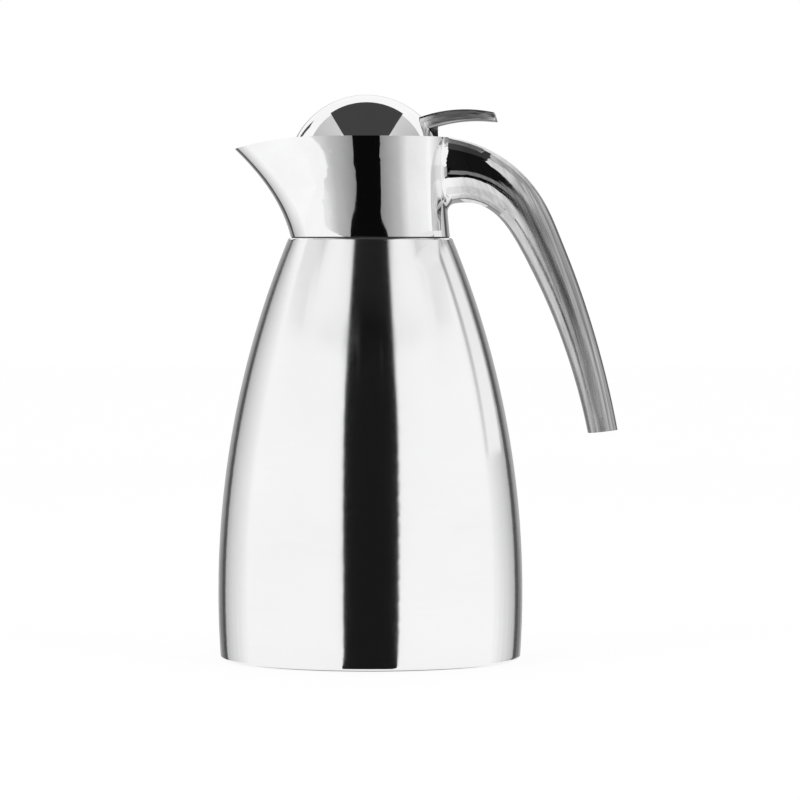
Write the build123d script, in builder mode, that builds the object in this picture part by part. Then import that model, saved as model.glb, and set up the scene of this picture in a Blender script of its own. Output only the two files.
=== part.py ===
from build123d import *
import os
from math import acos, asin, atan2, copysign, cos, pi, radians, sin, sqrt

# Thermal jug with a hinged dome lid: a drawn steel shell round a glass vacuum flask, and a
# plated head with spout and handle. Sizes are in millimetres. The origin is on the jug's axis
# on the table, +Z is up, the spout points along -X and the handle stands on the +X side.

os.makedirs("parts", exist_ok=True)

# Fits between pieces
running_clearance = 0.05
loose_clearance = 0.2
seal_gap = 0.3

# Shell: one long side arc over a small foot corner, with a turned-in hem and a flat top
shell_wall = 0.8
shell_top = 198.0
shell_widest_radius = 71.4
shell_widest_height = 32.0
shell_ledge = 1.0
shell_lift = 0.6
shell_foot_corner = 2.2
shell_shoulder_corner = 1.4
shell_hem_width = 3.6

# Head: collar, spout and handle in one casting
collar_wall = 2.0
collar_floor = 2.5
collar_radius = 37.3
waist_depth = 0.9
rim_offset = 1.8
rim_rise = 46.6
spout_reach = 25.2
spout_tip_drop = 5.2
spout_straight_share = 0.45
spout_sharpness = 10
rim_fall_start = 22.0
rim_fall_radius = 161.0
rim_fall_turn = 20.0
section_points = 24
collar_sections = 7
seam_gasket_thickness = 0.5

# Handle: outer and inner edge are each two tangent arcs, seen from the side
handle_outer_step = 1.2
handle_outer_drop = 0.35
handle_outer_heading = -9.1
handle_crown_radius = 60.6
handle_crown_turn = 56.7
handle_back_radius = 450.0
handle_back_turn = 14.0
handle_inner_step = 1.7
handle_inner_drop = 30.55
handle_inner_heading = 7.5
handle_armpit_radius = 26.5
handle_armpit_turn = 66.5
handle_front_radius = 300.0
handle_front_turn = 23.0
handle_root_width = 25.0
handle_tip_width = 17.0
handle_lead_in = 9.0
handle_squareness = 2.5
handle_stations = 12
handle_root_fillet = 4.0
handle_end_reach = 64.8
handle_end_drop = 138.5
handle_end_tilt = 6.3

# Pour insert: tube through collar and shell, sealing land, conical stopper seat and deck
insert_tube_margin = 8.3
insert_tube_wall = 2.0
insert_tube_end = 2.7
insert_flange_width = 4.0
insert_flange_thickness = 1.6
insert_land_drop = 2.0
seat_height = 14.0
deck_rise = 33.5
deck_thickness = 2.5

# Nut that clamps insert, collar and shell
nut_margin = 0.8
nut_height = 6.5
nut_notches = 8
nut_notch_size = 3.0

# Glass flask: outer and inner bottle with a vacuum between them
flask_side_room = 11.4
flask_corner = 26.0
flask_side_drop = 80.0
flask_side_fillet = 60.0
flask_shoulder_room = 5.0
flask_shoulder_drop = 22.0
flask_shoulder_fillet = 14.0
flask_shoulder_slope = 0.47
flask_neck_room = 3.0
flask_neck_fillet = 5.0
flask_lip_thickness = 1.5
flask_glass = 1.6
flask_vacuum = 5.0
flask_neck_vacuum = 1.7
shoulder_inset_share = 0.75
tip_off_length = 6.0
tip_off_radius = 4.5
spacer_radius = 4.0
spacer_height = 70.0
spacer_count = 3

# Seals and supports of the flask
mouth_gasket_thickness = 2.5
mouth_gasket_skirt = 3.5
mouth_gasket_wall = 1.0
cushion_thickness = 10.0
cushion_bore_radius = 10.0
cushion_margin = 1.0

# Base: ring fixed in the shell's foot, screwed cover and rubber foot
base_ring_top = 13.0
base_ring_foot_width = 1.5
cover_flange_width = 4.7
cover_thread_wall = 2.5
cover_thread_end = 1.0
cover_flange_height = 0.8
cover_flange_thickness = 2.2
cover_web = 2.5
cover_platform_height = 14.0
cover_platform_thickness = 2.5
cover_lip_height = 3.0
cover_lip_wall = 2.4
grip_recess_margin = 4.0
grip_recess_draft = 2.0
grip_bar_width = 7.0
foot_ring_margin = 2.2
foot_ring_width = 4.0
foot_groove_depth = 1.0

# Lid: dome, base plate and stopper
dome_wall = 0.8
dome_centre_drop = 17.4
dome_edge_drop = 2.1
lid_base_thickness = 1.6
lid_plate_thickness = 2.0
lid_spigot_gap = 0.35
lid_spigot_wall = 2.0
lid_spigot_height = 3.0
lid_boss_radius = 4.5
lid_boss_height = 5.0
stopper_lift = 1.5
stopper_gap = 1.6
stopper_wall = 1.8
stopper_post_radius = 4.5
stopper_screw_radius = 1.5
stopper_screw_head_radius = 3.0
stopper_screw_head_height = 2.0
stopper_cap_height = 1.5
driver_slot = 0.6
seal_lift = 5.2
seal_height = 3.6
seal_depth = 1.0

# Hinge at the rear of the mouth
hinge_rise = 1.2
hinge_setback = 2.2
pin_radius = 1.2
pin_head_radius = 1.7
pin_head_thickness = 0.5
ear_radius = 2.1
ear_thickness = 1.4
bracket_half_width = 8.5
bracket_plate = 1.2
bracket_lift = 1.0
bracket_top_drop = 1.1
pad_room = 1.7
pad_top_drop = 2.5
pad_depth = 3.0
pad_half_width = 9.0
bracket_screw_spacing = 9.0
bracket_screw_radius = 1.2
bracket_screw_head_radius = 2.1
bracket_screw_head_height = 1.2
bracket_screw_length = 7.0
notch_half_width = 9.6
notch_depth = 4.1
notch_height = 3.1
hub_half_width = 2.9
spring_wire = 0.55
spring_radius = 1.75
spring_turns = 3
spring_near = 3.4
spring_far = 6.6
spring_lid_leg = 6.1
spring_plate_leg = 5.9
spring_points = 10

# Thumb lever, seen from the side: places measured from the hinge pin
lever_top_root = (-7.6, 7.7)
lever_top_middle = (13.4, 11.8)
lever_top_end = (28.4, 10.3)
lever_bottom_root = (-1.6, 2.7)
lever_bottom_middle = (14.8, 6.3)
lever_bottom_end = (30.1, 5.9)
lever_root_half_width = 10.0
lever_waist_reach = 12.4
lever_waist_half_width = 7.4
lever_end_half_width = 9.4
lever_edge_fillet = 0.9
lever_tip_bulge = 1.5
lever_hub_web = 4.4
lever_dish_radius = 30.0
lever_dish_depth = 0.8
lever_dish_reach = 20.4
lever_screw_spacing = 10.0
lever_screw_radius = 1.1
lever_screw_head_radius = 2.0
lever_screw_head_height = 1.2
lever_screw_length = 5.0
lever_screw_rise = 2.1

# Heights of the head, from the shell's top upwards
shell_inner_top = shell_top - shell_wall
collar_base = shell_top + seam_gasket_thickness
floor_top = collar_base + collar_floor
rim_height = collar_base + rim_rise
spout_tip_height = rim_height - spout_tip_drop
deck_height = collar_base + deck_rise
seat_foot = deck_height - seat_height
insert_land_height = seat_foot - insert_land_drop
flask_lip_height = insert_land_height - mouth_gasket_thickness
insert_tube_foot = shell_inner_top - nut_height - insert_tube_end
stopper_foot = seat_foot + stopper_lift
seal_foot = seat_foot + seal_lift
dome_radius = collar_radius
dome_centre_height = rim_height - dome_centre_drop
dome_edge_height = rim_height - dome_edge_drop
lid_underside = dome_edge_height - lid_base_thickness

# Radii of tube, neck, seat and nut
insert_tube_radius = collar_radius - insert_tube_margin
tube_hole_radius = insert_tube_radius + loose_clearance
insert_flange_radius = insert_tube_radius + insert_flange_width
flask_neck_radius = insert_tube_radius - insert_tube_wall - flask_neck_room
neck_bore_radius = flask_neck_radius - 2 * flask_glass - flask_neck_vacuum
insert_bore_radius = neck_bore_radius - 2 * running_clearance
seat_slope = (insert_tube_radius - loose_clearance - insert_bore_radius) / seat_height
nut_radius = collar_radius - nut_margin

# Shell's side arc, from its widest place to its top
shell_top_radius = collar_radius + shell_ledge
side_narrowing = shell_widest_radius - shell_top_radius
side_height = shell_top - shell_widest_height
shell_side_radius = (side_height**2 + side_narrowing**2) / (2 * side_narrowing)
hem_radius = shell_widest_radius - shell_hem_width - shell_foot_corner / 2
hem_top = shell_lift + shell_wall

# Flask and base, from the shell around them
flask_bottom = cover_platform_height + cushion_thickness
flask_radius = shell_widest_radius - flask_side_room
flask_side_top = shell_top - flask_side_drop
flask_shoulder_height = shell_top - flask_shoulder_drop
cushion_radius = flask_radius - flask_corner - cushion_margin
grip_recess_radius = cushion_radius - grip_recess_margin
cover_flange_top = cover_flange_height + cover_flange_thickness
cover_thread_radius = hem_radius - cover_flange_width
cover_thread_top = base_ring_top - cover_thread_end
foot_ring_radius = hem_radius - foot_ring_margin

# Hinge, from the collar's rear wall and rim
bracket_pad_front = collar_radius - collar_wall - rim_offset - pad_room
hinge_x = bracket_pad_front - hinge_setback
hinge_height = rim_height + hinge_rise
bracket_foot = deck_height + bracket_lift
bracket_top = rim_height - bracket_top_drop
bracket_pad_foot = deck_height + loose_clearance
bracket_pad_top = rim_height - pad_top_drop
bracket_screw_height = (bracket_foot + bracket_pad_top) / 2
notch_front = hinge_x - notch_depth
notch_top = hinge_height + notch_height

# Handle's starting and end points
handle_outer_start = (collar_radius + handle_outer_step, rim_height - handle_outer_drop)
handle_inner_start = (collar_radius + handle_inner_step, rim_height - handle_inner_drop)
handle_end = (collar_radius + handle_end_reach, rim_height - handle_end_drop)


def side_radius(height):
    """Radius of the shell's long side arc at a height."""
    drop = sqrt(shell_side_radius**2 - (height - shell_widest_height) ** 2)
    return shell_widest_radius - shell_side_radius + drop


def seat_radius(height):
    """Radius of the pour insert's conical seat at a height."""
    return insert_bore_radius + (height - seat_foot) * seat_slope


def from_hinge(place):
    """Point seen from the side, from its place relative to the hinge pin."""
    return (hinge_x + place[0], hinge_height + place[1])


def half_section(profile, plane=Plane.XZ):
    """Closed half section of a turned piece, from (radius, height) points."""
    with BuildSketch(plane) as section:
        with BuildLine():
            Polyline(*profile, close=True)
        make_face()
    return section.sketch


def plain_ring(inner, outer, low, high):
    """Half section of a plain ring."""
    return half_section(((inner, low), (outer, low), (outer, high), (inner, high)))


def collar_section(height, inset=0.0):
    """Collar outline at one height: a circle drawn out to the spout."""
    rise = (height - collar_base) / (rim_height - collar_base)
    draw = (height - collar_base) / (spout_tip_height - collar_base)
    radius = collar_radius - waist_depth * sin(pi * rise) - inset
    reach = spout_reach * (spout_straight_share * draw + (1 - spout_straight_share) * draw**2)
    points = []
    for step in range(section_points):
        turn = 2 * pi * step / section_points
        stretch = ((1 - cos(turn)) / 2) ** spout_sharpness
        points.append((radius * cos(turn) - reach * stretch - rim_offset * rise, radius * sin(turn)))
    with BuildSketch(Plane.XY.offset(height)) as section:
        with BuildLine():
            Spline(*points, periodic=True)
        make_face()
    return section.sketch


def collar_stack(low, high, inset=0.0):
    """Collar outlines between two heights, to loft through."""
    step = (high - low) / (collar_sections - 1)
    return [collar_section(low + number * step, inset) for number in range(collar_sections)]


def handle_edge(start, heading, arcs):
    """Side view of one handle edge: a straight lead-in, then arcs that turn downwards."""
    direction = Vector(cos(radians(heading)), sin(radians(heading)))
    with BuildLine() as edge:
        lead = Line(Vector(*start) - direction * handle_lead_in, start)
        for radius, turn in arcs:
            lead = JernArc(lead @ 1, lead % 1, radius, -turn)
    return edge.wires()[0]


outer_arcs = ((handle_crown_radius, handle_crown_turn), (handle_back_radius, handle_back_turn))
inner_arcs = ((handle_armpit_radius, handle_armpit_turn), (handle_front_radius, handle_front_turn))
handle_outer_edge = handle_edge(handle_outer_start, handle_outer_heading, outer_arcs)
handle_inner_edge = handle_edge(handle_inner_start, handle_inner_heading, inner_arcs)


def handle_section(along):
    """Rounded section across the handle, at a share of its length."""
    outer = Plane.XZ.from_local_coords(handle_outer_edge @ along)
    inner = Plane.XZ.from_local_coords(handle_inner_edge @ along)
    depth = (outer - inner).length / 2
    half_width = (handle_root_width + (handle_tip_width - handle_root_width) * along) / 2
    power = 2 / handle_squareness
    points = []
    for step in range(section_points):
        turn = 2 * pi * step / section_points
        across = copysign(abs(cos(turn)) ** power, cos(turn))
        sideways = copysign(abs(sin(turn)) ** power, sin(turn))
        points.append((depth * across, half_width * sideways))
    outward = (outer - inner).normalized()
    plane = Plane(origin=(outer + inner) / 2, x_dir=outward, z_dir=outward.cross(Vector(0, 1, 0)))
    with BuildSketch(plane) as section:
        with BuildLine():
            Spline(*points, periodic=True)
        make_face()
    return section.sketch


def flask_wall(depth, neck_radius, top):
    """Half section of one glass bottle that lies depth inside the flask's outer face."""
    outside = flask_outline(depth, neck_radius, top)
    inside = flask_outline(depth + flask_glass, neck_radius - flask_glass, top + flask_glass)
    return Plane.XZ * (outside - inside)


def flask_outline(depth, neck_radius, top):
    """Filled half outline of a bottle that lies depth inside the flask's outer face."""
    shoulder_depth = shoulder_inset_share * depth
    shoulder_room = shell_wall + flask_shoulder_room + shoulder_depth
    shoulder_radius = side_radius(flask_shoulder_height) - shoulder_room
    shoulder_height = flask_shoulder_height - shoulder_depth
    neck_foot = shoulder_height + (shoulder_radius - neck_radius) * flask_shoulder_slope
    corner_radii = (
        flask_corner - depth,
        flask_side_fillet,
        flask_shoulder_fillet - shoulder_depth / 2,
        flask_neck_fillet,
    )
    with BuildSketch() as outline:
        with BuildLine():
            side = FilletPolyline(
                (0, flask_bottom + depth),
                (flask_radius - depth, flask_bottom + depth),
                (flask_radius - depth, flask_side_top),
                (shoulder_radius, shoulder_height),
                (neck_radius, neck_foot),
                (neck_radius, top),
                radius=corner_radii,
            )
            Polyline(side @ 1, (0, top), side @ 0)
        make_face()
    return outline.sketch


def lever_screw_plane(side, depth):
    """Plane square to a lever screw, at a distance from the dome's centre."""
    sideways = asin(lever_screw_spacing / 2 / dome_radius)
    rise = notch_top + lever_screw_rise - dome_centre_height
    lift = asin(rise / dome_radius / cos(sideways))
    direction = Vector(cos(lift) * cos(sideways), side * sin(sideways), sin(lift) * cos(sideways))
    return Plane(origin=Vector(-rim_offset, 0, dome_centre_height) + direction * depth, z_dir=direction)


# Outer shell: turned from its side arc, then hollowed to the sheet's thickness
with BuildPart() as outer_shell:
    with BuildSketch(Plane.XZ) as shell_profile:
        foot_point = (side_radius(shell_lift), shell_lift)
        shoulder_point = (side_radius(shell_top), shell_top)
        with BuildLine():
            Polyline(shoulder_point, (0, shell_top), (0, shell_lift), foot_point)
            ThreePointArc(foot_point, (shell_widest_radius, shell_widest_height), shoulder_point)
        make_face()
        corners = shell_profile.vertices().filter_by(lambda corner: corner.X > shell_wall)
        fillet(corners.sort_by(Axis.Y)[0], shell_foot_corner)
        corners = shell_profile.vertices().filter_by(lambda corner: corner.X > shell_wall)
        fillet(corners.sort_by(Axis.Y)[-1], shell_shoulder_corner)
        offset(amount=-shell_wall, mode=Mode.SUBTRACT)
        with Locations((0, shell_top)):
            Rectangle(2 * tube_hole_radius, 2 * shell_top, mode=Mode.SUBTRACT)
        with Locations((0, shell_lift)):
            Rectangle(2 * hem_radius, 4 * shell_wall, mode=Mode.SUBTRACT)
    revolve(axis=Axis.Z)

# Gasket that shows as the dark line between shell and collar
with BuildPart() as seam_gasket:
    revolve(plain_ring(tube_hole_radius, collar_radius - 2 * loose_clearance, shell_top, collar_base))

# Handle blank, cut square at its end
with BuildPart() as handle_blank:
    loft([handle_section(number / (handle_stations - 1)) for number in range(handle_stations)])
    tilt = radians(handle_end_tilt)
    end_point = Plane.XZ.from_local_coords(handle_end)
    end_plane = Plane(origin=end_point, x_dir=(cos(tilt), 0, sin(tilt)), z_dir=(-sin(tilt), 0, cos(tilt)))
    split(bisect_by=end_plane, keep=Keep.TOP)

# Head casting: collar drawn out to a spout, handle blended into its rear, mouth cut along the rim
with BuildPart() as collar_with_handle:
    loft(collar_stack(collar_base, rim_height + collar_wall))
    add(handle_blank.part)
    rear_edges = collar_with_handle.edges().filter_by_position(Axis.X, insert_tube_radius, collar_radius)
    fillet(rear_edges.filter_by(lambda edge: edge.length > handle_root_width), handle_root_fillet)
    loft(collar_stack(floor_top, rim_height + collar_wall, collar_wall), mode=Mode.SUBTRACT)
    with BuildSketch(Plane.XZ):
        with BuildLine():
            fall = JernArc((-rim_fall_start, rim_height), (-1, 0), rim_fall_radius, rim_fall_turn)
            rim_top = rim_height + 2 * collar_wall
            rim_rear = handle_outer_start[0] + collar_radius
            Polyline(fall @ 1, ((fall @ 1).X, rim_top), (rim_rear, rim_top), (rim_rear, rim_height), fall @ 0)
        make_face()
    extrude(amount=2 * collar_radius, both=True, mode=Mode.SUBTRACT)
    with Locations((0, 0, collar_base)):
        Cylinder(tube_hole_radius, 4 * collar_floor, mode=Mode.SUBTRACT)
    pad_middle = (bracket_pad_foot + bracket_pad_top) / 2
    with Locations((bracket_pad_front + pad_depth / 2, 0, pad_middle)):
        Box(pad_depth, 2 * pad_half_width, bracket_pad_top - bracket_pad_foot)
    for side in (-1, 1):
        screw_mouth = (bracket_pad_front, side * bracket_screw_spacing / 2, bracket_screw_height)
        with BuildSketch(Plane(origin=screw_mouth, z_dir=(1, 0, 0))):
            Circle(bracket_screw_radius + running_clearance)
        extrude(amount=bracket_screw_length, mode=Mode.SUBTRACT)

# Pour insert: tube, sealing land and stopper seat turned, with a deck to the collar's outline
with BuildPart() as pour_insert:
    land_radius = flask_neck_radius + mouth_gasket_wall + 2 * loose_clearance
    tube_inner = insert_tube_radius - insert_tube_wall
    revolve(
        half_section(
            (
                (insert_bore_radius, insert_land_height),
                (land_radius, insert_land_height),
                (tube_inner, insert_land_height + insert_tube_wall),
                (tube_inner, insert_tube_foot),
                (insert_tube_radius, insert_tube_foot),
                (insert_tube_radius, floor_top),
                (insert_flange_radius, floor_top),
                (insert_flange_radius, floor_top + insert_flange_thickness),
                (insert_tube_radius, floor_top + insert_flange_thickness),
                (insert_tube_radius, deck_height),
                (seat_radius(deck_height), deck_height),
                (insert_bore_radius, seat_foot),
            )
        )
    )
    deck_foot = deck_height - deck_thickness
    loft(collar_stack(deck_foot, deck_height, collar_wall + loose_clearance))
    revolve(
        half_section(
            (
                (0, deck_foot - loose_clearance),
                (seat_radius(deck_foot - loose_clearance), deck_foot - loose_clearance),
                (seat_radius(deck_height), deck_height),
                (0, deck_height),
            )
        ),
        mode=Mode.SUBTRACT,
    )
    pad_clear = bracket_pad_front - loose_clearance
    with Locations((pad_clear + pad_depth, 0, deck_height)):
        Box(2 * pad_depth, 2 * (pad_half_width + loose_clearance), 4 * deck_thickness, mode=Mode.SUBTRACT)

# Ring nut on the insert's tube: it clamps insert, collar and shell together
with BuildPart() as clamp_nut:
    nut_foot = shell_inner_top - nut_height
    revolve(plain_ring(insert_tube_radius + running_clearance, nut_radius, nut_foot, shell_inner_top))
    with PolarLocations(nut_radius, nut_notches):
        Box(nut_notch_size, nut_notch_size, 4 * nut_height, mode=Mode.SUBTRACT)

# Gasket between the insert's sealing land and the flask's lip
with BuildPart() as mouth_gasket:
    skirt_foot = flask_lip_height - mouth_gasket_skirt
    skirt_radius = flask_neck_radius + mouth_gasket_wall
    revolve(
        half_section(
            (
                (insert_bore_radius + 2 * loose_clearance, flask_lip_height),
                (flask_neck_radius + running_clearance, flask_lip_height),
                (flask_neck_radius + running_clearance, skirt_foot),
                (skirt_radius, skirt_foot),
                (skirt_radius, insert_land_height),
                (insert_bore_radius + 2 * loose_clearance, insert_land_height),
            )
        )
    )

# Outer glass bottle with the sealed pumping tip under its bottom
with BuildPart() as outer_flask:
    lip_foot = flask_lip_height - flask_lip_thickness
    revolve(flask_wall(0, flask_neck_radius, lip_foot))
    revolve(
        half_section(
            (
                (0, flask_bottom - tip_off_length),
                (tip_off_radius / 3, flask_bottom - tip_off_length + tip_off_radius / 6),
                (tip_off_radius, flask_bottom + flask_glass / 2),
                (0, flask_bottom + flask_glass / 2),
            )
        )
    )

# Inner glass bottle: its lip closes the vacuum gap over the outer one
with BuildPart() as inner_flask:
    revolve(flask_wall(flask_glass + flask_vacuum, neck_bore_radius + flask_glass, lip_foot))
    revolve(plain_ring(neck_bore_radius, flask_neck_radius, lip_foot, flask_lip_height))

# Spacer pads that keep the two bottles apart
with BuildPart() as flask_spacers:
    vacuum_outer = flask_radius - flask_glass
    vacuum_inner = vacuum_outer - flask_vacuum
    with BuildSketch(Plane.YZ):
        with Locations((0, spacer_height)):
            Circle(spacer_radius)
    extrude(amount=flask_radius)
    spacer_low = spacer_height - 2 * spacer_radius
    spacer_high = spacer_height + 2 * spacer_radius
    gap_inner = vacuum_inner + running_clearance
    gap_outer = vacuum_outer - running_clearance
    revolve(plain_ring(gap_inner, gap_outer, spacer_low, spacer_high), mode=Mode.INTERSECT)
    one_spacer = flask_spacers.part
    for number in range(1, spacer_count):
        add(one_spacer.rotate(Axis.Z, 360 * number / spacer_count))

# Soft cushion under the flask
with BuildPart() as liner_cushion:
    revolve(plain_ring(cushion_bore_radius, cushion_radius, cover_platform_height, flask_bottom))

# Ring fixed in the shell's foot, with the bore that takes the cover
with BuildPart() as base_ring:
    ring_step = hem_radius - seal_gap
    ring_foot_radius = hem_radius + base_ring_foot_width
    shell_corner_height = shell_lift + shell_foot_corner + running_clearance
    wall_fit = shell_wall + running_clearance
    revolve(
        half_section(
            (
                (ring_step, hem_top),
                (ring_foot_radius, hem_top),
                (side_radius(shell_corner_height) - wall_fit, shell_corner_height),
                (side_radius(base_ring_top) - wall_fit, base_ring_top),
                (cover_thread_radius, base_ring_top),
                (cover_thread_radius, cover_flange_top + loose_clearance),
                (ring_step, cover_flange_top + loose_clearance),
            )
        )
    )

# Screwed base cover with a grip bar across its recess and a platform for the cushion
with BuildPart() as base_cover:
    recess_roof = cover_platform_height - cover_platform_thickness
    web_foot = cover_flange_top - cover_web / 2 + loose_clearance
    web_top = web_foot + cover_web
    flange_radius = ring_step - loose_clearance
    flange_inner = foot_ring_radius - foot_ring_width - cover_thread_wall
    thread_outer = cover_thread_radius - running_clearance
    platform_radius = cushion_radius + 2 * loose_clearance
    revolve(
        half_section(
            (
                (0, recess_roof),
                (grip_recess_radius, recess_roof),
                (grip_recess_radius + grip_recess_draft, web_foot),
                (flange_inner, web_foot),
                (flange_inner, cover_flange_height),
                (flange_radius, cover_flange_height),
                (flange_radius, cover_flange_top),
                (thread_outer, cover_flange_top),
                (thread_outer, cover_thread_top),
                (thread_outer - cover_thread_wall, cover_thread_top),
                (thread_outer - cover_thread_wall, web_top),
                (platform_radius + cover_lip_wall, web_top),
                (platform_radius + cover_lip_wall, cover_platform_height + cover_lip_height),
                (platform_radius, cover_platform_height + cover_lip_height),
                (platform_radius, cover_platform_height),
                (0, cover_platform_height),
            )
        )
    )
    with Locations((0, 0, (recess_roof + web_foot) / 2)):
        Box(2 * grip_recess_radius + grip_recess_draft, grip_bar_width, recess_roof - web_foot)
    groove_top = cover_flange_height + foot_groove_depth
    groove_inner = foot_ring_radius - foot_ring_width
    revolve(plain_ring(groove_inner, foot_ring_radius, 0, groove_top), mode=Mode.SUBTRACT)

# Rubber ring that the jug stands on
with BuildPart() as foot_ring:
    foot_inner = groove_inner + running_clearance
    foot_outer = foot_ring_radius - running_clearance
    revolve(plain_ring(foot_inner, foot_outer, 0, groove_top))

# Thin dome of the lid, notched at the rear for the hinge and drilled for the lever's screws
dome_centre = (-rim_offset, 0, dome_centre_height)
notch_middle = (notch_front + dome_radius / 2, 0, notch_top - dome_radius / 2)
with BuildPart() as lid_dome:
    with Locations(dome_centre):
        Sphere(dome_radius)
        Sphere(dome_radius - dome_wall, mode=Mode.SUBTRACT)
    split(bisect_by=Plane.XY.offset(dome_edge_height), keep=Keep.TOP)
    with Locations(notch_middle):
        Box(dome_radius, 2 * notch_half_width, dome_radius, mode=Mode.SUBTRACT)
    for side in (-1, 1):
        with BuildSketch(lever_screw_plane(side, dome_radius - 2 * dome_wall)):
            Circle(lever_screw_radius + running_clearance)
        extrude(amount=4 * dome_wall, mode=Mode.SUBTRACT)

# Lid base: plate under the dome with a locating rim and a boss for the stopper's screw
with BuildPart() as lid_base:
    dome_edge_radius = sqrt(dome_radius**2 - (dome_edge_height - dome_centre_height) ** 2)
    spigot_top = dome_edge_height + lid_spigot_height
    dome_inner_squared = (dome_radius - dome_wall) ** 2 - (spigot_top - dome_centre_height) ** 2
    spigot_radius = sqrt(dome_inner_squared) - lid_spigot_gap
    plate_top = lid_underside + lid_plate_thickness
    with Locations((-rim_offset, 0, 0)):
        with Locations((0, 0, lid_underside)):
            Cylinder(dome_edge_radius, lid_base_thickness, align=(Align.CENTER, Align.CENTER, Align.MIN))
            Cylinder(spigot_radius, spigot_top - lid_underside, align=(Align.CENTER, Align.CENTER, Align.MIN))
        with Locations((0, 0, plate_top)):
            Cylinder(
                spigot_radius - lid_spigot_wall,
                lid_spigot_height,
                align=(Align.CENTER, Align.CENTER, Align.MIN),
                mode=Mode.SUBTRACT,
            )
    boss_top = plate_top + lid_boss_height
    revolve(plain_ring(0, lid_boss_radius, lid_underside, boss_top))
    pilot_radius = stopper_screw_radius + running_clearance
    revolve(plain_ring(0, pilot_radius, lid_underside, boss_top), mode=Mode.SUBTRACT)
    with Locations(notch_middle):
        Box(dome_radius, 2 * notch_half_width, dome_radius, mode=Mode.SUBTRACT)

# Stopper: hollow cone cup with a screw post and a groove for its seal
counterbore_top = stopper_foot + stopper_cap_height + stopper_screw_head_height + seal_gap
with BuildPart() as stopper:
    cup_floor = stopper_foot + stopper_wall
    cone_top = deck_height
    counterbore_radius = stopper_screw_head_radius + 2 * loose_clearance
    cup_radius = seat_radius(cone_top) - stopper_gap
    revolve(
        half_section(
            (
                (counterbore_radius, stopper_foot),
                (seat_radius(stopper_foot) - stopper_gap, stopper_foot),
                (cup_radius, cone_top),
                (cup_radius, lid_underside),
                (cup_radius - stopper_wall, lid_underside),
                (cup_radius - stopper_wall, cone_top + stopper_wall / 3),
                (seat_radius(stopper_foot) - stopper_gap - stopper_wall / 2, cup_floor),
                (stopper_post_radius, cup_floor),
                (stopper_post_radius, lid_underside),
                (stopper_screw_radius + loose_clearance, lid_underside),
                (stopper_screw_radius + loose_clearance, counterbore_top),
                (counterbore_radius, counterbore_top),
            )
        )
    )
    seal_top = seal_foot + seal_height
    revolve(
        half_section(
            (
                (seat_radius(seal_foot) - stopper_gap - seal_depth, seal_foot),
                (seat_radius(seal_foot), seal_foot),
                (seat_radius(seal_top), seal_top),
                (seat_radius(seal_top) - stopper_gap - seal_depth, seal_top),
            )
        ),
        mode=Mode.SUBTRACT,
    )

# Rubber seal in the stopper's groove
with BuildPart() as stopper_seal:
    seal_face = seal_gap * sqrt(1 + seat_slope**2)
    revolve(
        half_section(
            (
                (seat_radius(seal_foot) - stopper_gap - seal_depth, seal_foot),
                (seat_radius(seal_foot) - seal_face, seal_foot),
                (seat_radius(seal_top) - seal_face, seal_top),
                (seat_radius(seal_top) - stopper_gap - seal_depth, seal_top),
            )
        )
    )

# Foam that fills the stopper
with BuildPart() as stopper_insulation:
    foam_radius = cup_radius - stopper_wall - loose_clearance
    foam_floor = cup_floor + loose_clearance
    foam_foot_radius = seat_radius(stopper_foot) - stopper_gap - stopper_wall
    revolve(
        half_section(
            (
                (stopper_post_radius + loose_clearance, foam_floor),
                (foam_foot_radius, foam_floor),
                (foam_radius, cone_top + stopper_wall / 3),
                (foam_radius, lid_underside - loose_clearance),
                (stopper_post_radius + loose_clearance, lid_underside - loose_clearance),
            )
        )
    )

# Screw that holds the stopper to the lid base
with BuildPart() as stopper_screw:
    head_foot = counterbore_top - stopper_screw_head_height
    revolve(plain_ring(0, stopper_screw_head_radius, head_foot, counterbore_top))
    revolve(plain_ring(0, stopper_screw_radius, counterbore_top, boss_top - stopper_screw_radius))
    with Locations((0, 0, head_foot)):
        Box(2 * stopper_screw_head_radius, driver_slot, 2 * driver_slot, mode=Mode.SUBTRACT)

# Plug that hides the stopper's screw
with BuildPart() as stopper_cap:
    cap_top = stopper_foot + stopper_cap_height
    revolve(plain_ring(0, counterbore_radius - running_clearance, stopper_foot, cap_top))

# Hinge bracket: a plate screwed to the collar's pad, with two ears
with BuildPart() as hinge_bracket:
    plate_middle = (bracket_foot + bracket_top) / 2
    plate_front = bracket_pad_front - bracket_plate
    with Locations((bracket_pad_front - bracket_plate / 2, 0, plate_middle)):
        Box(bracket_plate, 2 * bracket_half_width, bracket_top - bracket_foot)
    with BuildSketch(Plane.XZ) as ear_side:
        with Locations((hinge_x, hinge_height)):
            Circle(ear_radius)
        with Locations((bracket_pad_front - bracket_plate / 2, plate_middle)):
            Circle(bracket_plate / 2)
        make_hull()
    extrude(amount=bracket_half_width, both=True)
    between_ears = bracket_half_width - ear_thickness
    with Locations((plate_front - dome_radius / 2, 0, plate_middle)):
        Box(dome_radius, 2 * between_ears, 2 * dome_radius, mode=Mode.SUBTRACT)
    with Locations((plate_front, 0, bracket_top + ear_radius)):
        Box(4 * ear_radius, 2 * between_ears, 2 * ear_radius, mode=Mode.SUBTRACT)
    with BuildSketch(Plane.XZ):
        with Locations((hinge_x, hinge_height)):
            Circle(pin_radius + running_clearance)
    extrude(amount=bracket_half_width, both=True, mode=Mode.SUBTRACT)
    with BuildSketch(Plane(origin=(bracket_pad_front, 0, bracket_screw_height), z_dir=(-1, 0, 0))):
        with GridLocations(0, bracket_screw_spacing, 1, 2):
            Circle(bracket_screw_radius + running_clearance)
    extrude(amount=bracket_plate, mode=Mode.SUBTRACT)

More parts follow.
